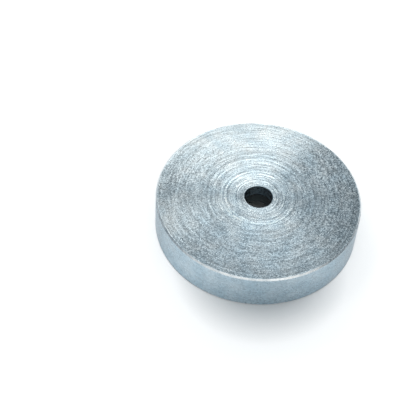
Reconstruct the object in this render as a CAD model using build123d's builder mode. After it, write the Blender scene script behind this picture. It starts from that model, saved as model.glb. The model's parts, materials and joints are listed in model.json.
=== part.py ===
from build123d import *
import os

# A flat pot magnet: a turned steel pot that holds a countersunk ring magnet, potted in epoxy.
# Lengths are in millimetres and angles in degrees. The origin is the centre of the magnetic
# face, in the plane of the pot's rim. +Z runs along the bore and out of the closed back.

# Steel pot
pot_diameter = 40.0
pot_height = 8.0
wall_thickness = 3.0
base_thickness = 2.5
bore_diameter = 5.5
recess_corner_radius = 0.5
back_edge_chamfer = 0.3
bore_edge_chamfer = 0.1
rim_edge_chamfer = 0.3
recess_edge_chamfer = 0.2

# Ring magnet
magnet_recess = 0.1
magnet_edge_chamfer = 0.3
countersink_diameter = 12.0
countersink_angle = 90.0

# Epoxy potting, as a film behind the magnet and a filled gap around it
potting_gap = 1.0
glue_film = 0.15
glue_setback = 0.5
potting_drop = 0.1
meniscus_depth = 0.08

# Radii and levels that follow from the sizes above
pot_radius = pot_diameter / 2
bore_radius = bore_diameter / 2
recess_radius = pot_radius - wall_thickness
recess_floor = pot_height - base_thickness
magnet_radius = recess_radius - potting_gap
magnet_back = recess_floor - glue_film
glue_inner_radius = bore_radius + glue_setback
potting_level = magnet_recess + magnet_edge_chamfer + potting_drop

# Edges this near a level are taken to lie on it
level_tolerance = 0.001


def circles_at(turned, level):
    """List a turned part's circular edges at a level, the smallest first."""
    circles = turned.edges().filter_by(GeomType.CIRCLE)
    low, high = level - level_tolerance, level + level_tolerance
    return circles.filter_by_position(Axis.Z, low, high).sort_by(SortBy.RADIUS)


# The pot is turned from bar: the cup's half section is revolved, then drilled and deburred
with BuildPart() as steel_pot:
    with BuildSketch(Plane.XZ):
        with BuildLine():
            Polyline(
                (0, pot_height),
                (pot_radius, pot_height),
                (pot_radius, 0),
                (recess_radius, 0),
                (recess_radius, recess_floor),
                (0, recess_floor),
                close=True,
            )
        make_face()
    revolve(axis=Axis.Z)
    Hole(radius=bore_radius)

    fillet(circles_at(steel_pot, recess_floor)[-1], radius=recess_corner_radius)
    chamfer(circles_at(steel_pot, pot_height)[-1], length=back_edge_chamfer)
    chamfer(circles_at(steel_pot, pot_height)[0], length=bore_edge_chamfer)
    chamfer(circles_at(steel_pot, 0)[-1], length=rim_edge_chamfer)
    chamfer(circles_at(steel_pot, 0)[0], length=recess_edge_chamfer)

# The magnet is a sintered ring, countersunk from its magnetic face for the screw's head
with BuildPart() as ring_magnet:
    with BuildSketch(Plane.XY.offset(magnet_recess)):
        Circle(magnet_radius)
    extrude(amount=magnet_back - magnet_recess)
    magnetic_face = ring_magnet.faces().sort_by(Axis.Z)[0]
    with Locations(magnetic_face):
        CounterSinkHole(
            radius=bore_radius,
            counter_sink_radius=countersink_diameter / 2,
            counter_sink_angle=countersink_angle,
        )

    chamfer(circles_at(ring_magnet, magnet_recess), length=magnet_edge_chamfer)
    chamfer(circles_at(ring_magnet, magnet_back)[-1], length=magnet_edge_chamfer)

# The epoxy's section is an L, and its free surface is drawn in between the magnet and the wall
with BuildPart() as epoxy_potting:
    with BuildSketch(Plane.XZ):
        with BuildLine():
            gap_side = Polyline(
                (magnet_radius, potting_level),
                (magnet_radius, magnet_back),
                (glue_inner_radius, magnet_back),
                (glue_inner_radius, recess_floor),
                (recess_radius, recess_floor),
                (recess_radius, potting_level),
            )
            ThreePointArc(
                gap_side @ 1,
                (recess_radius - potting_gap / 2, potting_level + meniscus_depth),
                gap_side @ 0,
            )
        make_face()
    revolve(axis=Axis.Z)

    fillet(circles_at(epoxy_potting, recess_floor)[-1], radius=recess_corner_radius)
    chamfer(circles_at(epoxy_potting, magnet_back)[-1], length=magnet_edge_chamfer)

steel_pot.part.label = "steel_pot"
ring_magnet.part.label = "ring_magnet"
epoxy_potting.part.label = "epoxy_potting"

os.makedirs("parts", exist_ok=True)
export_step(steel_pot.part, "parts/steel_pot.step")
export_step(ring_magnet.part, "parts/ring_magnet.step")
export_step(epoxy_potting.part, "parts/epoxy_potting.step")
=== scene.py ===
import json
import math

import bmesh
import bpy
from bpy.props import FloatProperty, FloatVectorProperty, IntProperty, PointerProperty
from mathutils import Matrix, Vector


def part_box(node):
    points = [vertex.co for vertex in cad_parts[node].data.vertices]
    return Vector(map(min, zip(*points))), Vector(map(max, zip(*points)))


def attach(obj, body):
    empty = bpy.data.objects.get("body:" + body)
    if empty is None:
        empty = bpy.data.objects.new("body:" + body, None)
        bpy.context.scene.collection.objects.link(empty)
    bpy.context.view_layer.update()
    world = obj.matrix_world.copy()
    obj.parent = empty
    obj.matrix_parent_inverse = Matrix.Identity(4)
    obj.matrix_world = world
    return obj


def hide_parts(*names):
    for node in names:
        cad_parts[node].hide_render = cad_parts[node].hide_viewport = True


bl_info = {
    "name": "Pot Magnet Finish",
    "version": (1, 0, 0),
    "blender": (4, 5, 0),
    "location": "3D View > Sidebar > Pot Magnet",
    "description": "Turns, plates and pots a flat pot magnet around its construction model",
    "category": "Object",
}

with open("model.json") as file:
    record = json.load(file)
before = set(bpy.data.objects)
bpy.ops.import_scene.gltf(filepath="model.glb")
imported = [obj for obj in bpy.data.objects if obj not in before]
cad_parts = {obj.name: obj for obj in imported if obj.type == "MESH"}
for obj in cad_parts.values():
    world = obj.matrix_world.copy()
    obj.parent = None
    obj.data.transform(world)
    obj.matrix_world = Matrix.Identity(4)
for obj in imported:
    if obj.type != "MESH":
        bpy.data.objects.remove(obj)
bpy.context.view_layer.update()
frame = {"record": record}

MM = 0.001

# Places and radii in metres, read from the construction model
POT_LOW, POT_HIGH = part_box("steel_pot")
MAGNET_LOW, MAGNET_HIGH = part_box("ring_magnet")
EPOXY_LOW, EPOXY_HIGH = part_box("epoxy_potting")
MOUNTS = {mount["name"]: mount for mount in frame["record"]["mounts"]}
BORE_RADIUS = MOUNTS["screw_bore"]["dims"]["r_mm"] * MM

# A height that no point of the part reaches, for a piece whose back isn't faced
OUT_OF_REACH = 1.0

# Steps of the arcs in the half sections
CORNER_STEPS = 6
MENISCUS_STEPS = 8

# Edges that bend less than this are shaded smooth
SMOOTH_ANGLE = math.radians(24)

# A hair's depth under the back, which still counts as the back
HAIR = 0.0005 * MM

# Deeper under the back than any facing mark, so that every mark takes the faced finish
MARK_REACH = 0.02 * MM

# Points that lie closer than this are one point
SAME_POINT = 0.0001 * MM

# How far from the corner the nicks reach, as a share of the chamfer
NICK_REACH = 1.2

# How much the uneven rings change on their way round the axis
WAVE_BREAKS = 0.6

# Noises on object coordinates, as features to the metre
NICK_SCALE = 500.0
RIPPLE_SCALE = 420.0
WEAR_SCALE = 900.0
PAPER_SCALE = 1500.0

# The part of a cloud's range that is spread from one colour to the other
CLOUD_RANGE = (0.3, 0.7)

# The share of a turn that lays the stretch of a reflection across the marks
ACROSS_THE_MARKS = 0.25

# The floor's size and paper
FLOOR_RADIUS = 1.5
FLOOR_SIDES = 64
DARK_PAPER = (0.80, 0.80, 0.80)
PALE_PAPER = (0.82, 0.82, 0.82)

# The shade that the pot throws forward: its centre on the floor, and the start and end of its edge
SHADE_CENTRE = (1.0 * MM, -12.0 * MM, 0.0)
SHADE_EDGE = (8.7 * MM, 17.0 * MM)

# The lamps are a little warm and the room is a little blue
LAMP_COLOUR = (1.055, 1.0, 0.94)
LAMP_DISTANCE = 0.9
ROOM_COLOUR = Vector((0.86, 1.01, 1.12))

# How softly the walls pass into the ceiling and into the darker right wall, on a unit sphere
CEILING_BLUR = 0.1
RIGHT_WALL_EDGE = (0.2, 0.8)

# The camera's sensor in millimetres and its nearest visible distance in metres
SENSOR_WIDTH = 36.0
NEAREST = 0.01

# Each lamp's name, its azimuth from +X towards +Y, its height above the table, and how wide
# and tall it looks from the object, all in degrees
LAMPS = (
    ("right_back_card", 64, 14, 42, 28),
    ("back_card", 104, 12, 40, 24),
    ("back_lamp", 103, 32, 46, 14),
    ("back_top_lamp", 106, 49, 32, 20),
    ("right_top_lamp", 60, 62, 36, 14),
    ("left_top_lamp", 150, 55, 44, 14),
    ("left_front_lamp", 225, 38, 42, 26),
    ("front_lamp", 270, 44, 42, 36),
    ("right_front_lamp", 315, 44, 42, 36),
)


# ---------------------------------------------------------------- sizes and colours


def length(name, description, millimetres):
    """Describe a length that is given in millimetres and kept in metres."""
    return FloatProperty(name=name, description=description, default=millimetres * MM,
                         min=0.0, unit="LENGTH", precision=5)


def colour(name, description, value):
    """Describe a colour in scene linear values."""
    return FloatVectorProperty(name=name, description=description, default=value,
                               subtype="COLOR", min=0.0, max=1.0)


def radiance(name, description, value):
    """Describe a light's brightness, where 1 lights like a white surround."""
    return FloatProperty(name=name, description=description, default=value, min=0.0)


def angle(name, description, degrees):
    """Describe an angle that is given in degrees and kept in radians."""
    return FloatProperty(name=name, description=description, default=math.radians(degrees),
                         subtype="ANGLE")


class PotSizes(bpy.types.PropertyGroup):
    """Edges of the turned pot and the marks that the lathe leaves on its back."""

    back_chamfer: length("Back Chamfer", "Chamfer round the closed back", 0.3)
    rim_chamfer: length("Rim Chamfer", "Chamfer round the outside of the rim", 0.3)
    recess_chamfer: length("Recess Chamfer", "Chamfer round the mouth of the recess", 0.2)
    bore_chamfer: length("Bore Chamfer", "Edge break round the bore", 0.1)
    recess_corner: length("Recess Corner", "Corner radius at the bottom of the recess", 0.5)
    feed: length("Feed", "Advance of the facing tool in one turn", 0.22)
    nose_radius: length("Nose Radius", "Nose radius of the facing tool", 1.2)
    waviness: length("Waviness", "Depth of the uneven rings over the grooves", 0.006)
    wave_spacing: length("Wave Spacing", "Width of the uneven rings", 0.9)
    nick_depth: length("Nick Depth", "Depth of the nicks in the back's outer edge", 0.05)
    segments: IntProperty(name="Segments", description="Flats round the pot",
                          default=216, min=48)
    stations: IntProperty(name="Stations", description="Points across one groove",
                          default=5, min=3)


class MagnetSizes(bpy.types.PropertyGroup):
    """Edges of the ring magnet."""

    edge_chamfer: length("Edge Chamfer", "Chamfer on the magnet's edges", 0.3)
    countersink_radius: length("Countersink Radius", "Radius at the magnetic face", 6.0)
    countersink_angle: angle("Countersink Angle", "Full angle of the countersink", 90)
    segments: IntProperty(name="Segments", description="Flats round the magnet",
                          default=192, min=48)


class EpoxySizes(bpy.types.PropertyGroup):
    """Shape of the poured epoxy."""

    glue_setback: length("Glue Setback", "How far the glue film stops short of the bore", 0.5)
    meniscus_depth: length("Meniscus Depth", "How far the free surface is drawn in", 0.08)
    ripple: length("Ripple", "Height of the uneven places in the free surface", 0.05)


class FinishColours(bpy.types.PropertyGroup):
    """Colours of the plating, the magnet and the epoxy."""

    zinc: colour("Zinc", "Blue passivated zinc plate", (0.545, 0.67, 0.745))
    pale_zinc: colour("Pale Zinc", "Zinc plate with a thinner passivation", (0.685, 0.763, 0.80))
    # Painted shade: the two wall colours are darker copies of the zinc plate
    shaded_wall_zinc: colour("Wall Zinc", "Zinc plate on the turned wall", (0.415, 0.54, 0.62))
    pale_shaded_wall_zinc: colour("Pale Wall Zinc", "Turned wall where it is palest", (0.52, 0.62, 0.68))
    # Partly real wear and partly a painted highlight: the pale zinc on the pot's edges
    rubbed_and_highlit_zinc: colour("Rubbed Zinc", "Zinc plate rubbed bright on the edges", (0.86, 0.90, 0.92))
    nickel: colour("Nickel", "Nickel plate on the magnet", (0.50, 0.54, 0.53))
    pale_nickel: colour("Pale Nickel", "Nickel plate where it is brightest", (0.60, 0.63, 0.62))
    epoxy: colour("Epoxy", "Cast epoxy resin", (0.030, 0.032, 0.035))
    pale_epoxy: colour("Pale Epoxy", "Epoxy with a film of dust", (0.060, 0.062, 0.064))


class StageSettings(bpy.types.PropertyGroup):
    """The camera, the lamps and the floor."""

    camera_place: FloatVectorProperty(
        name="Camera Place", description="Where the camera stands",
        default=(-0.01133, -0.13689, 0.16879), subtype="TRANSLATION", precision=5)
    camera_dip: angle("Camera Dip", "How far the camera looks down from level", 49.95)
    camera_roll: angle("Camera Roll", "Turn of the camera about its line of sight", 3.3)
    focal_length: FloatProperty(
        name="Focal Length", description="Focal length in millimetres, on a sensor of 36 mm",
        default=97.8)
    right_back_card: radiance("Right Back Card", "Brightness of the card behind on the right", 1.55)
    back_card: radiance("Back Card", "Brightness of the white card behind", 1.5)
    back_lamp: radiance("Back Lamp", "Brightness of the long lamp over the back card", 3.05)
    back_top_lamp: radiance("Back Top Lamp", "Brightness of the high lamp behind", 0.29)
    right_top_lamp: radiance("Right Top Lamp", "Brightness of the high lamp on the right", 0.18)
    left_top_lamp: radiance("Left Top Lamp", "Brightness of the high lamp on the left", 1.65)
    left_front_lamp: radiance("Left Front Lamp", "Brightness of the lamp in front on the left", 0.6)
    front_lamp: radiance("Front Lamp", "Brightness of the wide lamp in front", 0.58)
    right_front_lamp: radiance("Right Front Lamp",
                               "Brightness of the lamp in front on the right", 0.88)
    surround: radiance("Surround", "Brightness of the walls round the table", 0.30)
    right_wall: FloatProperty(
        name="Right Wall", description="Brightness of the right wall, as a share of the others",
        default=0.75, min=0.0)
    ceiling: radiance("Ceiling", "Brightness of the ceiling", 0.56)
    ceiling_height: angle("Ceiling Height", "How high the ceiling begins", 62)
    floor_glow: radiance("Floor Glow", "How much the floor is lifted towards white", 0.47)


class PotMagnetSettings(bpy.types.PropertyGroup):
    """Everything that a user may change."""

    pot: PointerProperty(type=PotSizes)
    magnet: PointerProperty(type=MagnetSizes)
    epoxy: PointerProperty(type=EpoxySizes)
    colours: PointerProperty(type=FinishColours)
    stage: PointerProperty(type=StageSettings)


# ---------------------------------------------------------------- building node trees


class NodeBench:
    """Adds nodes to a tree and links them as they are added."""

    def __init__(self, tree):
        self.tree = tree

    def feed(self, socket, value):
        """Give an input socket a value, or link it to another socket."""
        if isinstance(value, bpy.types.NodeSocket):
            self.tree.links.new(value, socket)
        else:
            socket.default_value = value

    def add(self, kind, inputs=None, **settings):
        """Add a node, set its properties and feed its inputs."""
        node = self.tree.nodes.new(kind)
        for name, value in settings.items():
            setattr(node, name, value)
        for key, value in (inputs or {}).items():
            self.feed(node.inputs[key], value)
        return node

    def math(self, operation, *values, clamp=False):
        """Add a Math node and return its output."""
        node = self.add("ShaderNodeMath", dict(enumerate(values)), operation=operation,
                        use_clamp=clamp)
        return node.outputs[0]

    def vector(self, operation, *values, output=0):
        """Add a Vector Math node and return one of its outputs."""
        node = self.add("ShaderNodeVectorMath", dict(enumerate(values)), operation=operation)
        return node.outputs[output]

    def scale(self, vector, factor):
        """Scale a vector or a colour by a number."""
        node = self.add("ShaderNodeVectorMath", {"Vector": vector, "Scale": factor},
                        operation="SCALE")
        return node.outputs[0]

    def combine(self, x=0.0, y=0.0, z=0.0):
        """Join three numbers into a vector."""
        return self.add("ShaderNodeCombineXYZ", {0: x, 1: y, 2: z}).outputs[0]

    def spread(self, value, low, high, start=0.0, end=1.0):
        """Map the range from start to end onto the range from low to high."""
        node = self.add("ShaderNodeMapRange", {"Value": value, "From Min": start, "From Max": end,
                                               "To Min": low, "To Max": high})
        return node.outputs[0]

    def blend(self, factor, first, second):
        """Blend two colours by a mask. Each is a fixed colour or another blend."""
        node = self.add("ShaderNodeMix", data_type="RGBA")
        sockets = {socket.identifier: socket for socket in node.inputs}
        self.feed(sockets["Factor_Float"], factor)
        for name, value in (("A_Color", first), ("B_Color", second)):
            blended = isinstance(value, bpy.types.NodeSocket)
            self.feed(sockets[name], value if blended else (*value, 1.0))
        return next(socket for socket in node.outputs if socket.identifier == "Result_Color")

    def polar(self, position):
        """Return the distance from the axis, the direction round it, and the height."""
        flat = self.vector("MULTIPLY", position, (1, 1, 0))
        radius = self.vector("LENGTH", flat, output=1)
        direction = self.vector("NORMALIZE", flat)
        height = self.add("ShaderNodeSeparateXYZ", {0: position}).outputs[2]
        return radius, direction, height


def new_group(name, kind, inputs, outputs):
    """Make a node group and return it with its bench, its given values and its results."""
    group = bpy.data.node_groups.new(name, kind)
    for socket_name, socket_type in inputs:
        group.interface.new_socket(socket_name, in_out="INPUT", socket_type=socket_type)
    for socket_name, socket_type in outputs:
        group.interface.new_socket(socket_name, in_out="OUTPUT", socket_type=socket_type)
    bench = NodeBench(group)
    given = bench.add("NodeGroupInput").outputs
    results = bench.add("NodeGroupOutput").inputs
    return group, bench, given, results


# ---------------------------------------------------------------- shared shader groups


def turning_marks_group():
    """Rings left by a tool or a drawing die, uneven in width and broken up round the axis."""
    group, bench, given, results = new_group(
        "Turning Marks", "ShaderNodeTree",
        [("Spacing", "NodeSocketFloat"), ("Breaks", "NodeSocketFloat"),
         ("Contrast", "NodeSocketFloat"), ("Seed", "NodeSocketFloat")],
        [("Face Mark", "NodeSocketFloat"), ("Wall Mark", "NodeSocketFloat")])
    position = bench.add("ShaderNodeTexCoord").outputs["Object"]
    radius, direction, height = bench.polar(position)
    around = bench.scale(direction, given["Breaks"])
    for distance, result in ((radius, "Face Mark"), (height, "Wall Mark")):
        across = bench.combine(z=bench.math("DIVIDE", distance, given["Spacing"]))
        noise = bench.add("ShaderNodeTexNoise", {
            "Vector": bench.vector("ADD", around, across), "W": given["Seed"],
            "Scale": 1.0, "Detail": 2.0, "Roughness": 0.6}, noise_dimensions="4D")
        centred = bench.math("SUBTRACT", noise.outputs["Fac"], 0.5)
        contrasted = bench.math("MULTIPLY", centred, given["Contrast"])
        bench.feed(results[result], bench.math("ADD", contrasted, 0.5, clamp=True))
    return group


def ring_zone_group():
    """Mask that is full from one radius inward and fades out at another."""
    group, bench, given, results = new_group(
        "Ring Zone", "ShaderNodeTree",
        [("Full Radius", "NodeSocketFloat"), ("Faded Radius", "NodeSocketFloat")],
        [("Zone", "NodeSocketFloat")])
    radius, _, _ = bench.polar(bench.add("ShaderNodeTexCoord").outputs["Object"])
    zone = bench.spread(radius, 1.0, 0.0, given["Full Radius"], given["Faded Radius"])
    bench.feed(results["Zone"], zone)
    return group


def crowned_face_group():
    """Height of a back that falls away towards its edge, less and less steeply inward."""
    group, bench, given, results = new_group(
        "Crowned Face", "ShaderNodeTree", [("Edge Slope", "NodeSocketFloat")],
        [("Height", "NodeSocketFloat")])
    radius, _, _ = bench.polar(bench.add("ShaderNodeTexCoord").outputs["Object"])
    steepness = bench.math("DIVIDE", given["Edge Slope"], -2.0 * POT_HIGH.x)
    square = bench.math("MULTIPLY", radius, radius)
    bench.feed(results["Height"], bench.math("MULTIPLY", square, steepness))
    return group


def plating_grain_group():
    """Crystals of plated or cast surfaces, each of its own tone, and the broad clouds behind."""
    group, bench, given, results = new_group(
        "Plating Grain", "ShaderNodeTree",
        [("Grain Size", "NodeSocketFloat"), ("Cloud Size", "NodeSocketFloat")],
        [("Grain", "NodeSocketFloat"), ("Cloud", "NodeSocketFloat")])
    position = bench.add("ShaderNodeTexCoord").outputs["Object"]
    crystals = bench.add("ShaderNodeTexVoronoi", {
        "Vector": position, "Scale": bench.math("DIVIDE", 1.0, given["Grain Size"])})
    tone = bench.add("ShaderNodeSeparateXYZ", {0: crystals.outputs["Color"]}).outputs[0]
    bench.feed(results["Grain"], tone)
    coarse = bench.add("ShaderNodeTexNoise", {
        "Vector": position, "Scale": bench.math("DIVIDE", 1.0, given["Cloud Size"]),
        "Detail": 3.0, "Roughness": 0.55})
    bench.feed(results["Cloud"], coarse.outputs["Fac"])
    return group


def edge_wear_group():
    """Mask of the band along a circular edge, for wear and for a painted highlight."""
    group, bench, given, results = new_group(
        "Edge Wear", "ShaderNodeTree",
        [("Edge Radius", "NodeSocketFloat"), ("Edge Height", "NodeSocketFloat"),
         ("Width", "NodeSocketFloat")],
        [("Wear", "NodeSocketFloat")])
    position = bench.add("ShaderNodeTexCoord").outputs["Object"]
    radius, _, height = bench.polar(position)
    offset = bench.combine(x=bench.math("SUBTRACT", radius, given["Edge Radius"]),
                           y=bench.math("SUBTRACT", height, given["Edge Height"]))
    distance = bench.vector("LENGTH", offset, output=1)
    near = bench.math("SUBTRACT", 1.0, bench.math("DIVIDE", distance, given["Width"]), clamp=True)
    patches = bench.add("ShaderNodeTexNoise", {
        "Vector": position, "Scale": WEAR_SCALE, "Detail": 3.0})
    # The noise is a half on average, so doubled it leaves the band whole in places
    doubled = bench.math("MULTIPLY", patches.outputs["Fac"], 2.0)
    bench.feed(results["Wear"], bench.math("MULTIPLY", near, doubled, clamp=True))
    return group


# ---------------------------------------------------------------- materials


class Finish:
    """A material being made, with its bench and its shader."""

    def __init__(self, name, effects):
        self.material = bpy.data.materials.new(name)
        self.material.use_nodes = True
        tree = self.material.node_tree
        tree.nodes.clear()
        self.bench = NodeBench(tree)
        self.effects = effects
        self.shader = self.bench.add("ShaderNodeBsdfPrincipled")
        output = self.bench.add("ShaderNodeOutputMaterial")
        self.bench.feed(output.inputs["Surface"], self.shader.outputs[0])

    def effect(self, name, **values):
        """Place a shared effect with its own values and return its outputs."""
        node = self.bench.add("ShaderNodeGroup", node_tree=self.effects[name])
        for key, value in values.items():
            node.inputs[key.replace("_", " ").title()].default_value = value
        return node.outputs

    def clouded(self, cloud, first, second):
        """Blend two colours by the broad clouds in a plating or a resin."""
        tint = self.bench.spread(cloud, 0.0, 1.0, *CLOUD_RANGE)
        return self.bench.blend(tint, first, second)

    def shade(self, colour, *masks):
        """Multiply a colour by one or more masks and use it as the base colour."""
        total = masks[0]
        for mask in masks[1:]:
            total = self.bench.math("MULTIPLY", total, mask)
        self.bench.feed(self.shader.inputs["Base Color"], self.bench.scale(colour, total))

    def relief(self, height, strength, distance):
        """Raise the surface by a height mask."""
        bump = self.bench.add("ShaderNodeBump", {"Height": height, "Strength": strength,
                                                 "Distance": distance})
        self.bench.feed(self.shader.inputs["Normal"], bump.outputs[0])

    def brush_round_axis(self, anisotropy):
        """Stretch the reflections across marks that run round the axis."""
        tangent = self.bench.add("ShaderNodeTangent", direction_type="RADIAL", axis="Z")
        self.bench.feed(self.shader.inputs["Tangent"], tangent.outputs[0])
        self.shader.inputs["Anisotropic"].default_value = anisotropy
        self.shader.inputs["Anisotropic Rotation"].default_value = ACROSS_THE_MARKS

    def make_metal(self, grazing_tone=1.0):
        """Make it a metal whose reflections sink to a share of their tone at a grazing angle."""
        tint = (grazing_tone, grazing_tone, grazing_tone, 1.0)
        self.shader.inputs["Metallic"].default_value = 1.0
        self.shader.inputs["Specular Tint"].default_value = tint


def faced_zinc(effects, settings):
    """Zinc plate over the facing marks of the closed back."""
    finish = Finish("zinc_faced", effects)
    bench, shader, colours = finish.bench, finish.shader, settings.colours
    rings = finish.effect("marks", spacing=0.52 * MM, breaks=0.35, contrast=3.6,
                          seed=3.0)["Face Mark"]
    streaks = finish.effect("marks", spacing=0.34 * MM, breaks=3.2, contrast=3.4,
                            seed=8.0)["Face Mark"]
    plating = finish.effect("grain", grain_size=0.20 * MM, cloud_size=3.8 * MM)
    centre = finish.effect("zone", full_radius=5.0 * MM, faded_radius=10.5 * MM)["Zone"]
    ringed = finish.effect("zone", full_radius=7.0 * MM, faded_radius=14.0 * MM)["Zone"]
    # Painted shade: the back darkens towards its outer edge
    rim_shade = finish.effect("zone", full_radius=14.5 * MM, faded_radius=19.0 * MM)["Zone"]
    mouth = finish.effect("zone", full_radius=3.6 * MM, faded_radius=6.0 * MM)["Zone"]
    # A lighter band along the back's outer edge, partly real wear and partly a painted highlight
    worn_and_highlit = finish.effect("wear", edge_radius=POT_HIGH.x - settings.pot.back_chamfer,
                         edge_height=POT_HIGH.z, width=0.3 * MM)["Wear"]
    # Near the bore the rings stand out, and further out the crystals do
    ring_tone = bench.math("MULTIPLY", bench.math("SUBTRACT", rings, 0.5),
                           bench.spread(ringed, low=0.14, high=0.38))
    grain_tone = bench.math("MULTIPLY", bench.math("SUBTRACT", plating["Grain"], 0.5),
                            bench.spread(ringed, low=0.66, high=0.30))
    finish.shade(finish.clouded(plating["Cloud"], colours.zinc, colours.pale_zinc),
                 bench.math("ADD", grain_tone, 1.0),
                 bench.math("ADD", ring_tone, 1.0),
                 bench.spread(streaks, low=0.78, high=1.17),
                 bench.spread(centre, low=0.88, high=1.14),
                 bench.spread(rim_shade, low=0.85, high=1.02),
                 bench.spread(mouth, low=1.0, high=0.9),
                 bench.spread(worn_and_highlit, low=1.0, high=1.35))
    # The pale crystals are the dull ones too: they stand out in a dark reflection and fade in a
    # bright one
    bench.feed(shader.inputs["Roughness"], bench.spread(plating["Grain"], low=0.14, high=0.37))
    # These heights are in metres, and the bump takes them as they are
    crown = finish.effect("crown", edge_slope=0.074)["Height"]
    streaked = bench.math("MULTIPLY", streaks, 0.008 * MM)
    grooved = bench.math("MULTIPLY", bench.math("MULTIPLY", rings, ringed), 0.027 * MM)
    height = bench.math("ADD", bench.math("ADD", crown, streaked), grooved)
    finish.relief(height, strength=1.0, distance=1.0)
    finish.brush_round_axis(anisotropy=0.9)
    finish.make_metal(grazing_tone=0.5)
    return finish.material


def turned_zinc(effects, settings):
    """Smooth zinc plate on the outer wall, the chamfers, the rim and the bore."""
    finish = Finish("zinc_turned", effects)
    bench, shader, colours = finish.bench, finish.shader, settings.colours
    rings = finish.effect("marks", spacing=0.5 * MM, breaks=1.2, contrast=2.0,
                          seed=5.0)["Wall Mark"]
    plating = finish.effect("grain", grain_size=0.3 * MM, cloud_size=3.8 * MM)
    wear = finish.effect("wear", edge_radius=POT_HIGH.x, edge_height=POT_HIGH.z,
                         width=0.45 * MM)["Wear"]
    # Painted shade: the colour darkens inside the bore
    bore = finish.effect("zone", full_radius=BORE_RADIUS + 0.02 * MM,
                         faded_radius=BORE_RADIUS + 0.1 * MM)["Zone"]
    # Most of the band along the outer edge is pale, partly real wear and partly a painted highlight
    rubbed_and_highlit = bench.math("MULTIPLY", wear, 1.8, clamp=True)
    # Painted shade: the turned wall takes the darker copies of the zinc colours
    plate = finish.clouded(plating["Cloud"], colours.shaded_wall_zinc, colours.pale_shaded_wall_zinc)
    finish.shade(bench.blend(rubbed_and_highlit, plate, colours.rubbed_and_highlit_zinc),
                 bench.spread(plating["Grain"], low=0.88, high=1.12),
                 bench.spread(rings, low=0.97, high=1.03),
                 bench.spread(bore, low=1.0, high=0.9))
    bench.feed(shader.inputs["Roughness"], bench.spread(plating["Grain"], low=0.26, high=0.34))
    finish.relief(rings, strength=0.4, distance=0.01 * MM)
    finish.brush_round_axis(anisotropy=0.3)
    finish.make_metal(grazing_tone=0.68)
    return finish.material


def nickel_plate(effects, settings):
    """Nickel plate over the tumbled magnet."""
    finish = Finish("nickel_plated", effects)
    bench, shader, colours = finish.bench, finish.shader, settings.colours
    plating = finish.effect("grain", grain_size=0.25 * MM, cloud_size=3.0 * MM)
    wear = finish.effect("wear", edge_radius=settings.magnet.countersink_radius,
                         edge_height=MAGNET_LOW.z, width=0.5 * MM)["Wear"]
    # Painted shade: the colour darkens in the countersink
    countersink_shade = finish.effect("zone", full_radius=4.5 * MM, faded_radius=6.0 * MM)["Zone"]
    finish.shade(finish.clouded(plating["Cloud"], colours.nickel, colours.pale_nickel),
                 bench.spread(plating["Grain"], low=0.94, high=1.04),
                 bench.spread(wear, low=1.0, high=1.06),
                 bench.spread(countersink_shade, low=1.0, high=0.4))
    roughness = bench.spread(plating["Cloud"], 0.20, 0.34, *CLOUD_RANGE)
    bench.feed(shader.inputs["Roughness"], roughness)
    finish.relief(plating["Cloud"], strength=0.3, distance=0.04 * MM)
    finish.make_metal()
    return finish.material


def cast_epoxy(effects, settings):
    """Dark cast epoxy, glossy where it ran and dull where dust settled."""
    finish = Finish("epoxy_cast", effects)
    bench, shader, colours = finish.bench, finish.shader, settings.colours
    resin = finish.effect("grain", grain_size=0.45 * MM, cloud_size=2.5 * MM)
    dust = bench.spread(resin["Cloud"], low=0.0, high=1.0, start=0.35, end=0.7)
    finish.shade(bench.blend(dust, colours.epoxy, colours.pale_epoxy),
                 bench.spread(resin["Grain"], low=0.85, high=1.15))
    roughness = bench.spread(resin["Cloud"], 0.14, 0.42, *CLOUD_RANGE)
    bench.feed(shader.inputs["Roughness"], roughness)
    finish.relief(resin["Cloud"], strength=0.5, distance=0.06 * MM)
    return finish.material


def studio_floor(stage):
    """White paper that keeps the object's shadow."""
    finish = Finish("studio_floor", {})
    bench, shader = finish.bench, finish.shader
    position = bench.add("ShaderNodeTexCoord").outputs["Object"]
    fibres = bench.add("ShaderNodeTexNoise", {
        "Vector": position, "Scale": PAPER_SCALE, "Detail": 3.0}).outputs["Fac"]
    bench.feed(shader.inputs["Base Color"], bench.blend(fibres, DARK_PAPER, PALE_PAPER))
    rays = bench.add("ShaderNodeLightPath").outputs
    seen = bench.math("MAXIMUM", rays["Is Camera Ray"], rays["Is Glossy Ray"])
    seen = bench.math("MAXIMUM", seen, rays["Is Transmission Ray"])
    # The paper glows only outside the pot and the shade in front of it, so both keep their depth
    radius, _, _ = bench.polar(position)
    outside = bench.math("GREATER_THAN", radius, POT_HIGH.x)
    from_shade = bench.vector("DISTANCE", position, SHADE_CENTRE, output=1)
    away = bench.spread(from_shade, 0.0, 1.0, *SHADE_EDGE)
    glow = bench.math("MULTIPLY", seen, bench.math("MULTIPLY", outside, away))
    bench.feed(shader.inputs["Emission Color"], bench.scale((1.0, 1.0, 1.0), glow))
    shader.inputs["Emission Strength"].default_value = stage.floor_glow
    shader.inputs["Roughness"].default_value = 0.9
    shader.inputs["Specular IOR Level"].default_value = 0.0
    return finish.material


# ---------------------------------------------------------------- half sections


def arc_points(centre, radius, start, end, steps):
    """Return points along an arc of a half section, with the angles in degrees."""
    turns = [math.radians(start + (end - start) * step / steps) for step in range(steps + 1)]
    return [(centre[0] + radius * math.cos(turn), centre[1] + radius * math.sin(turn))
            for turn in turns]


def faced_band(sizes):
    """Return where the faced band of the back starts, its width, and its number of grooves."""
    start = BORE_RADIUS + sizes.bore_chamfer
    width = POT_HIGH.x - sizes.back_chamfer - start
    return start, width, round(width / sizes.feed)


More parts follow.
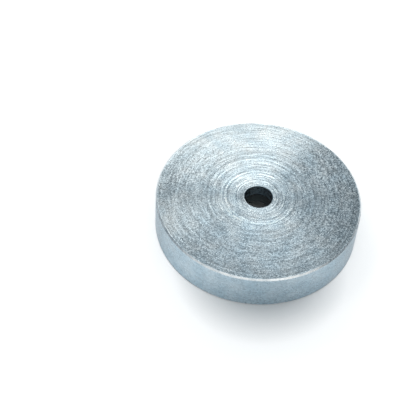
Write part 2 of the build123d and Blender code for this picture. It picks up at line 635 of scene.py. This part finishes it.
def pot_half_section(sizes):
    """Return the pot's half section, with close stations across its faced back."""
    outer, top = POT_HIGH.x, POT_HIGH.z
    recess, floor = EPOXY_HIGH.x, EPOXY_HIGH.z
    start, width, grooves = faced_band(sizes)
    steps = grooves * sizes.stations
    face = [(start + width * step / steps, top) for step in range(steps + 1)]
    corner = sizes.recess_corner
    return [
        (BORE_RADIUS, floor),
        (BORE_RADIUS, top - sizes.bore_chamfer),
        *face,
        (outer, top - sizes.back_chamfer),
        (outer, POT_LOW.z + sizes.rim_chamfer),
        (outer - sizes.rim_chamfer, POT_LOW.z),
        (recess + sizes.recess_chamfer, POT_LOW.z),
        (recess, POT_LOW.z + sizes.recess_chamfer),
        *arc_points((recess - corner, floor - corner), corner, 0, 90, CORNER_STEPS),
    ]


def magnet_half_section(sizes):
    """Return the ring magnet's half section, with its countersink."""
    outer, low, high = MAGNET_HIGH.x, MAGNET_LOW.z, MAGNET_HIGH.z
    chamfer, mouth = sizes.edge_chamfer, sizes.countersink_radius
    half_angle = sizes.countersink_angle / 2
    depth = (mouth - BORE_RADIUS) / math.tan(half_angle)
    return [
        (BORE_RADIUS, low + depth),
        (BORE_RADIUS, high),
        (outer - chamfer, high),
        (outer, high - chamfer),
        (outer, low + chamfer),
        (outer - chamfer, low),
        (mouth + chamfer, low),
        (mouth - chamfer * math.sin(half_angle), low + chamfer * math.cos(half_angle)),
    ]


def epoxy_half_section(sizes, chamfer, corner):
    """Return the half section of the glue film and of the filled gap round the magnet."""
    inner, outer = MAGNET_HIGH.x, EPOXY_HIGH.x
    low, back, floor = EPOXY_LOW.z, MAGNET_HIGH.z, EPOXY_HIGH.z
    half_gap = (outer - inner) / 2
    curve = (half_gap ** 2 + sizes.meniscus_depth ** 2) / (2 * sizes.meniscus_depth)
    half_angle = math.degrees(math.asin(half_gap / curve))
    curve_centre = (inner + half_gap, low + sizes.meniscus_depth - curve)
    return [
        (inner, back - chamfer),
        (inner - chamfer, back),
        (BORE_RADIUS + sizes.glue_setback, back),
        (BORE_RADIUS + sizes.glue_setback, floor),
        *arc_points((outer - corner, floor - corner), corner, 90, 0, CORNER_STEPS),
        *arc_points(curve_centre, curve, 90 - half_angle, 90 + half_angle, MENISCUS_STEPS),
    ]


# ---------------------------------------------------------------- the lathe


def tool_marks_group():
    """Depth of the facing marks: one groove a turn, over wider uneven rings."""
    group, bench, given, results = new_group(
        "Tool Marks", "GeometryNodeTree",
        [("Start Radius", "NodeSocketFloat"), ("Feed", "NodeSocketFloat"),
         ("Nose Radius", "NodeSocketFloat"), ("Waviness", "NodeSocketFloat"),
         ("Wave Spacing", "NodeSocketFloat"), ("Seed", "NodeSocketFloat")],
        [("Depth", "NodeSocketFloat")])
    position = bench.add("GeometryNodeInputPosition").outputs[0]
    radius, direction, _ = bench.polar(position)

    # Each groove is the arc of the tool's nose, so the ridges between them stand highest, by
    # the square of the feed over eight times the nose's radius
    passes = bench.math("DIVIDE", bench.math("SUBTRACT", radius, given["Start Radius"]),
                        given["Feed"])
    offset = bench.math("SUBTRACT", bench.math("FRACT", passes), 0.5)
    rise = bench.math("MULTIPLY", bench.math("POWER", offset, 2.0), 4.0)
    arc = bench.math("SUBTRACT", 1.0, rise)
    ridge = bench.math("DIVIDE", bench.math("POWER", given["Feed"], 2.0),
                       bench.math("MULTIPLY", given["Nose Radius"], 8.0))
    groove = bench.math("MULTIPLY", arc, ridge)

    # The tool springs a little, so the rings differ in depth from one to the next
    ring = bench.combine(z=bench.math("DIVIDE", radius, given["Wave Spacing"]))
    place = bench.vector("ADD", bench.scale(direction, WAVE_BREAKS), ring)
    wave = bench.add("ShaderNodeTexNoise", {"Vector": place, "W": given["Seed"], "Scale": 2.0,
                                            "Detail": 2.0, "Roughness": 0.65},
                     noise_dimensions="4D").outputs["Fac"]
    waves = bench.math("MULTIPLY", wave, given["Waviness"])
    bench.feed(results["Depth"], bench.math("ADD", groove, waves))
    return group


def lathe_tree():
    """Sweep a half section round the axis, mark its back, nick its edge and ripple its pour."""
    group, bench, given, results = new_group(
        "Lathe", "GeometryNodeTree",
        [("Half Section", "NodeSocketGeometry"), ("Bore Radius", "NodeSocketFloat"),
         ("Outer Radius", "NodeSocketFloat"), ("Back Height", "NodeSocketFloat"),
         ("Back Chamfer", "NodeSocketFloat"), ("Segments", "NodeSocketInt"),
         ("Start Radius", "NodeSocketFloat"), ("Feed", "NodeSocketFloat"),
         ("Nose Radius", "NodeSocketFloat"), ("Waviness", "NodeSocketFloat"),
         ("Wave Spacing", "NodeSocketFloat"), ("Nick Depth", "NodeSocketFloat"),
         ("Pour Height", "NodeSocketFloat"), ("Ripple", "NodeSocketFloat"),
         ("Seed", "NodeSocketFloat"), ("Faced Material", "NodeSocketMaterial"),
         ("Turned Material", "NodeSocketMaterial")],
        [("Turned Piece", "NodeSocketGeometry")])
    section = bench.add("GeometryNodeMeshToCurve", {0: given["Half Section"]}).outputs[0]
    circle = bench.add("GeometryNodeCurvePrimitiveCircle", {
        "Resolution": given["Segments"], "Radius": given["Bore Radius"]}).outputs[0]
    upright = bench.add("GeometryNodeSetCurveNormal", {0: circle}, mode="Z_UP").outputs[0]
    swept = bench.add("GeometryNodeCurveToMesh", {0: upright, 1: section}).outputs[0]

    position = bench.add("GeometryNodeInputPosition").outputs[0]
    radius, direction, height = bench.polar(position)

    # Facing marks on the flat back
    just_under = bench.math("SUBTRACT", given["Back Height"], HAIR)
    on_back = bench.math("GREATER_THAN", height, just_under)
    marks = bench.add("GeometryNodeGroup", node_tree=bpy.data.node_groups["Tool Marks"])
    for name in ("Start Radius", "Feed", "Nose Radius", "Waviness", "Wave Spacing", "Seed"):
        bench.feed(marks.inputs[name], given[name])
    sink = bench.combine(z=bench.math("MULTIPLY", marks.outputs["Depth"], -1.0))
    faced = bench.add("GeometryNodeSetPosition", {"Geometry": swept, "Selection": on_back,
                                                  "Offset": sink}).outputs[0]

    # Nicks in the outer edge of the back
    reach = bench.math("MULTIPLY", given["Back Chamfer"], NICK_REACH)
    near_wall = bench.math("GREATER_THAN", radius,
                           bench.math("SUBTRACT", given["Outer Radius"], reach))
    near_back = bench.math("GREATER_THAN", height,
                           bench.math("SUBTRACT", given["Back Height"], reach))
    nick_noise = bench.add("ShaderNodeTexNoise", {
        "Vector": position, "W": given["Seed"], "Scale": NICK_SCALE, "Detail": 2.0},
        noise_dimensions="4D").outputs["Fac"]
    # Only the peaks of the noise make a nick
    peaks = bench.spread(nick_noise, low=0.0, high=1.0, start=0.58, end=0.75)
    nick = bench.math("MULTIPLY", peaks, given["Nick Depth"])
    inward = bench.scale(bench.vector("ADD", direction, (0, 0, 1)),
                         bench.math("MULTIPLY", nick, -1.0))
    nicked = bench.add("GeometryNodeSetPosition", {
        "Geometry": faced, "Selection": bench.math("MULTIPLY", near_wall, near_back),
        "Offset": inward}).outputs[0]

    # Uneven free surface of a pour
    poured = bench.math("LESS_THAN", height, given["Pour Height"])
    swell = bench.add("ShaderNodeTexNoise", {
        "Vector": position, "W": given["Seed"], "Scale": RIPPLE_SCALE, "Detail": 2.0},
        noise_dimensions="4D").outputs["Fac"]
    lift = bench.combine(z=bench.math("MULTIPLY", swell, given["Ripple"]))
    rippled = bench.add("GeometryNodeSetPosition", {"Geometry": nicked, "Selection": poured,
                                                    "Offset": lift}).outputs[0]

    # Smooth all but the true edges, then give the back and the rest their finishes
    bend = bench.add("GeometryNodeInputMeshEdgeAngle").outputs[0]
    gentle = bench.math("LESS_THAN", bend, SMOOTH_ANGLE)
    smooth = bench.add("GeometryNodeSetShadeSmooth", {
        "Geometry": rippled, "Shade Smooth": gentle}, domain="EDGE").outputs[0]
    realized = bench.add("GeometryNodeRealizeInstances", {0: smooth}).outputs[0]
    turned = bench.add("GeometryNodeSetMaterial", {
        "Geometry": realized, "Material": given["Turned Material"]}).outputs[0]
    under_marks = bench.math("SUBTRACT", given["Back Height"], MARK_REACH)
    on_face = bench.math("GREATER_THAN", height, under_marks)
    finished = bench.add("GeometryNodeSetMaterial", {
        "Geometry": turned, "Selection": on_face, "Material": given["Faced Material"]})
    bench.feed(results["Turned Piece"], finished.outputs[0])
    return group


def draw_half_section(name, points):
    """Make an object that holds a half section as a closed loop of edges."""
    mesh = bpy.data.meshes.new(name)
    loop = [(radius - BORE_RADIUS, -height, 0.0) for radius, height in points]
    edges = [(index, (index + 1) % len(loop)) for index in range(len(loop))]
    mesh.from_pydata(loop, edges, [])
    piece = bpy.data.objects.new(name, mesh)
    bpy.context.scene.collection.objects.link(piece)
    return piece


def turn_piece(name, points, **inputs):
    """Turn a half section on the lathe and return the finished piece."""
    piece = draw_half_section(name, points)
    tree = bpy.data.node_groups["Lathe"]
    lathe = piece.modifiers.new("Lathe", "NODES")
    lathe.node_group = tree
    sockets = {item.name: item.identifier for item in tree.interface.items_tree
               if item.in_out == "INPUT"}
    for key, value in inputs.items():
        lathe[sockets[key.replace("_", " ").title()]] = value
    evaluated = piece.evaluated_get(bpy.context.evaluated_depsgraph_get())
    mesh = bpy.data.meshes.new_from_object(evaluated)
    piece.modifiers.clear()
    piece.data = mesh
    mesh.name = name
    point_outward(mesh)
    return piece


def point_outward(mesh):
    """Close a turned mesh's seam and turn its faces outward."""
    work = bmesh.new()
    work.from_mesh(mesh)
    bmesh.ops.remove_doubles(work, verts=work.verts, dist=SAME_POINT)
    bmesh.ops.recalc_face_normals(work, faces=work.faces)
    work.to_mesh(mesh)
    work.free()


def stand_for(piece, node):
    """Let a piece ride on the body and stand for its node."""
    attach(piece, "root")
    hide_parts(node)


# ---------------------------------------------------------------- the stage


def lay_floor(stage):
    """Lay a round sheet of paper under the rim."""
    work = bmesh.new()
    bmesh.ops.create_circle(work, cap_ends=True, segments=FLOOR_SIDES, radius=FLOOR_RADIUS)
    mesh = bpy.data.meshes.new("studio_floor")
    work.to_mesh(mesh)
    work.free()
    mesh.materials.append(studio_floor(stage))
    sheet = bpy.data.objects.new("studio_floor", mesh)
    bpy.context.scene.collection.objects.link(sheet)


def hang_lamp(name, azimuth, elevation, wide, tall, brightness):
    """Hang a soft lamp that faces the object."""
    lamp = bpy.data.lights.new(name, "AREA")
    lamp.shape = "RECTANGLE"
    lamp.size = 2 * LAMP_DISTANCE * math.tan(math.radians(wide / 2))
    lamp.size_y = 2 * LAMP_DISTANCE * math.tan(math.radians(tall / 2))
    # With this energy the lamp's face is as bright as a surface that shines with that strength
    lamp.energy = brightness * math.pi * lamp.size * lamp.size_y
    lamp.color = LAMP_COLOUR
    round_axis, above = math.radians(azimuth), math.radians(elevation)
    direction = Vector((math.cos(above) * math.cos(round_axis),
                        math.cos(above) * math.sin(round_axis), math.sin(above)))
    holder = bpy.data.objects.new(name, lamp)
    turn = direction.to_track_quat("Z", "Y").to_matrix().to_4x4()
    holder.matrix_world = Matrix.Translation(direction * LAMP_DISTANCE) @ turn
    holder.visible_camera = False
    bpy.context.scene.collection.objects.link(holder)


def studio_surround(stage):
    """Light the walls and the ceiling, and show plain white to the camera."""
    world = bpy.data.worlds.new("studio_surround")
    world.use_nodes = True
    world.node_tree.nodes.clear()
    bench = NodeBench(world.node_tree)
    direction = bench.add("ShaderNodeTexCoord").outputs["Generated"]
    rightward, _, height = bench.add("ShaderNodeSeparateXYZ", {0: direction}).outputs
    edge = math.sin(stage.ceiling_height)
    overhead = bench.spread(height, 0.0, 1.0, edge - CEILING_BLUR, edge + CEILING_BLUR)
    room = bench.blend(overhead, ROOM_COLOUR * stage.surround, ROOM_COLOUR * stage.ceiling)
    # The room is darker to the right
    dimmed = bench.spread(rightward, 1.0, stage.right_wall, *RIGHT_WALL_EDGE)
    lit = bench.add("ShaderNodeBackground", {"Color": room, "Strength": dimmed}).outputs[0]
    plain = bench.add("ShaderNodeBackground", {"Color": (1, 1, 1, 1), "Strength": 1.0}).outputs[0]
    camera_ray = bench.add("ShaderNodeLightPath").outputs["Is Camera Ray"]
    shown = bench.add("ShaderNodeMixShader", {0: camera_ray, 1: lit, 2: plain}).outputs[0]
    bench.add("ShaderNodeOutputWorld", {"Surface": shown})
    bpy.context.scene.world = world


def studio_camera(stage):
    """Stand the camera in front of the object, looking down on its back."""
    lens = bpy.data.cameras.new("studio_camera")
    lens.lens = stage.focal_length
    lens.sensor_width = SENSOR_WIDTH
    lens.clip_start = NEAREST
    camera = bpy.data.objects.new("studio_camera", lens)
    dip = Matrix.Rotation(math.radians(90) - stage.camera_dip, 4, "X")
    roll = Matrix.Rotation(stage.camera_roll, 4, "Z")
    camera.matrix_world = Matrix.Translation(stage.camera_place) @ dip @ roll
    bpy.context.scene.collection.objects.link(camera)
    bpy.context.scene.camera = camera


# ---------------------------------------------------------------- operators


def shared_effects():
    """Return the shader groups that the finishes share, building them once."""
    makers = {"marks": ("Turning Marks", turning_marks_group),
              "grain": ("Plating Grain", plating_grain_group),
              "zone": ("Ring Zone", ring_zone_group),
              "crown": ("Crowned Face", crowned_face_group),
              "wear": ("Edge Wear", edge_wear_group)}
    return {key: bpy.data.node_groups.get(name) or maker()
            for key, (name, maker) in makers.items()}


def prepare_lathe():
    """Build the lathe's node trees once."""
    if "Lathe" not in bpy.data.node_groups:
        tool_marks_group()
        lathe_tree()


class POTMAGNET_OT_steel_pot(bpy.types.Operator):
    """Turn, face and plate the steel pot"""

    bl_idname = "potmagnet.steel_pot"
    bl_label = "Steel Pot"

    def execute(self, context):
        settings = context.scene.pot_magnet
        sizes = settings.pot
        effects = shared_effects()
        prepare_lathe()
        start, width, grooves = faced_band(sizes)
        pot = turn_piece(
            "turned_pot", pot_half_section(sizes), bore_radius=BORE_RADIUS,
            outer_radius=POT_HIGH.x, back_height=POT_HIGH.z, back_chamfer=sizes.back_chamfer,
            segments=sizes.segments, start_radius=start, feed=width / grooves,
            nose_radius=sizes.nose_radius, waviness=sizes.waviness,
            wave_spacing=sizes.wave_spacing, nick_depth=sizes.nick_depth, seed=4.0,
            faced_material=faced_zinc(effects, settings),
            turned_material=turned_zinc(effects, settings))
        stand_for(pot, "steel_pot")
        return {"FINISHED"}


class POTMAGNET_OT_ring_magnet(bpy.types.Operator):
    """Shape and plate the countersunk ring magnet"""

    bl_idname = "potmagnet.ring_magnet"
    bl_label = "Ring Magnet"

    def execute(self, context):
        settings = context.scene.pot_magnet
        nickel = nickel_plate(shared_effects(), settings)
        prepare_lathe()
        magnet = turn_piece(
            "plated_magnet", magnet_half_section(settings.magnet), bore_radius=BORE_RADIUS,
            back_height=OUT_OF_REACH, segments=settings.magnet.segments,
            faced_material=nickel, turned_material=nickel)
        stand_for(magnet, "ring_magnet")
        return {"FINISHED"}


class POTMAGNET_OT_epoxy(bpy.types.Operator):
    """Pour the epoxy behind and round the magnet"""

    bl_idname = "potmagnet.epoxy"
    bl_label = "Epoxy Potting"

    def execute(self, context):
        settings = context.scene.pot_magnet
        resin = cast_epoxy(shared_effects(), settings)
        prepare_lathe()
        section = epoxy_half_section(settings.epoxy, settings.magnet.edge_chamfer,
                                     settings.pot.recess_corner)
        pour_height = EPOXY_LOW.z + 2 * settings.epoxy.meniscus_depth
        epoxy = turn_piece(
            "poured_epoxy", section, bore_radius=BORE_RADIUS, back_height=OUT_OF_REACH,
            segments=settings.magnet.segments, pour_height=pour_height,
            ripple=settings.epoxy.ripple, seed=11.0, faced_material=resin,
            turned_material=resin)
        stand_for(epoxy, "epoxy_potting")
        return {"FINISHED"}


class POTMAGNET_OT_stage(bpy.types.Operator):
    """Lay the floor, hang the lamps and stand the camera"""

    bl_idname = "potmagnet.stage"
    bl_label = "Stage"

    def execute(self, context):
        stage = context.scene.pot_magnet.stage
        lay_floor(stage)
        for name, azimuth, elevation, wide, tall in LAMPS:
            hang_lamp(name, azimuth, elevation, wide, tall, getattr(stage, name))
        studio_surround(stage)
        studio_camera(stage)
        context.scene.view_settings.view_transform = "Standard"
        return {"FINISHED"}


class POTMAGNET_PT_panel(bpy.types.Panel):
    """The sizes, the colours and the steps of the pot magnet"""

    bl_idname = "POTMAGNET_PT_panel"
    bl_label = "Pot Magnet"
    bl_space_type = "VIEW_3D"
    bl_region_type = "UI"
    bl_category = "Pot Magnet"

    def draw(self, context):
        settings = context.scene.pot_magnet
        for group in (settings.pot, settings.magnet, settings.epoxy, settings.colours,
                      settings.stage):
            box = self.layout.box()
            for name in group.bl_rna.properties.keys():
                if name not in {"rna_type", "name"}:
                    box.prop(group, name)
        for step in STEPS:
            self.layout.operator(step.bl_idname)


STEPS = (POTMAGNET_OT_steel_pot, POTMAGNET_OT_ring_magnet, POTMAGNET_OT_epoxy,
         POTMAGNET_OT_stage)
CLASSES = (PotSizes, MagnetSizes, EpoxySizes, FinishColours, StageSettings,
           PotMagnetSettings, *STEPS, POTMAGNET_PT_panel)


def register():
    """Register the classes and hang the settings on the scene."""
    for cls in CLASSES:
        bpy.utils.register_class(cls)
    bpy.types.Scene.pot_magnet = PointerProperty(type=PotMagnetSettings)


def unregister():
    """Remove the settings and the classes."""
    del bpy.types.Scene.pot_magnet
    for cls in reversed(CLASSES):
        bpy.utils.unregister_class(cls)


def main():
    """Make the piece and set the stage."""
    register()
    bpy.ops.potmagnet.steel_pot()
    bpy.ops.potmagnet.ring_magnet()
    bpy.ops.potmagnet.epoxy()
    bpy.ops.potmagnet.stage()


if __name__ == "__main__":
    main()
